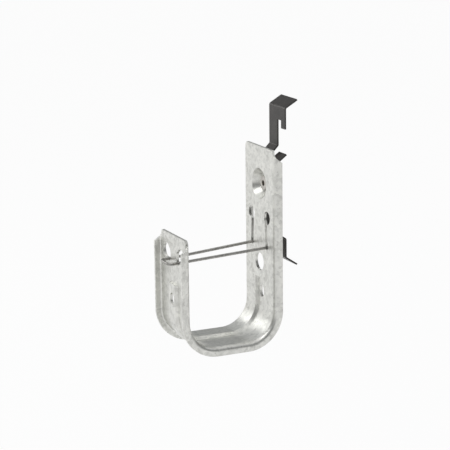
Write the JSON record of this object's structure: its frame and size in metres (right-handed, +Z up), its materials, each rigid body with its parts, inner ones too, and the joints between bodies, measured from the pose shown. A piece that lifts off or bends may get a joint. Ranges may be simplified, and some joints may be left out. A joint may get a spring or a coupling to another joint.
{
  "type": "j hook cable support",
  "caption": "Galvanised channel-section J-hook for data cable bundles, with a rivetted spring clip that swivels behind it and a wire retainer across its mouth.",
  "frame": {"origin": "middle of the fixing hole, on the back plate's cable face", "axes": "+Z up the back plate, -Y towards the front plate of the mouth, +X across the strip"},
  "size_m": [0.038, 0.0777, 0.1374],
  "materials": {
    "galvanised_sheet": "hot-dip galvanised sheet with a soft mottled spangle",
    "rivet_steel": "zinc plated, satin",
    "spring_steel": "dark brown-black phosphate finish on spring steel, satin",
    "galvanised_wire": "drawn galvanised wire, satin grey"
  },
  "bodies": {
    "clip": {"spring_clip": "spring_steel"},
    "hook": {"j_hook": "galvanised_sheet", "rivet": "rivet_steel"},
    "retainer": {"retainer_wire": "galvanised_wire"}
  },
  "joints": [
    {"name": "hook_swivel", "type": "hinge", "parent": "clip", "child": "hook", "pos_m": [0, 0.006, 0.0445], "axis": [0, 1, 0], "continuous": true},
    {"name": "retainer_lift", "type": "hinge", "parent": "hook", "child": "retainer", "pos_m": [0, -0.05175, 0.0065], "axis": [1, 0, 0], "range_deg": [0, 16]}
  ]
}
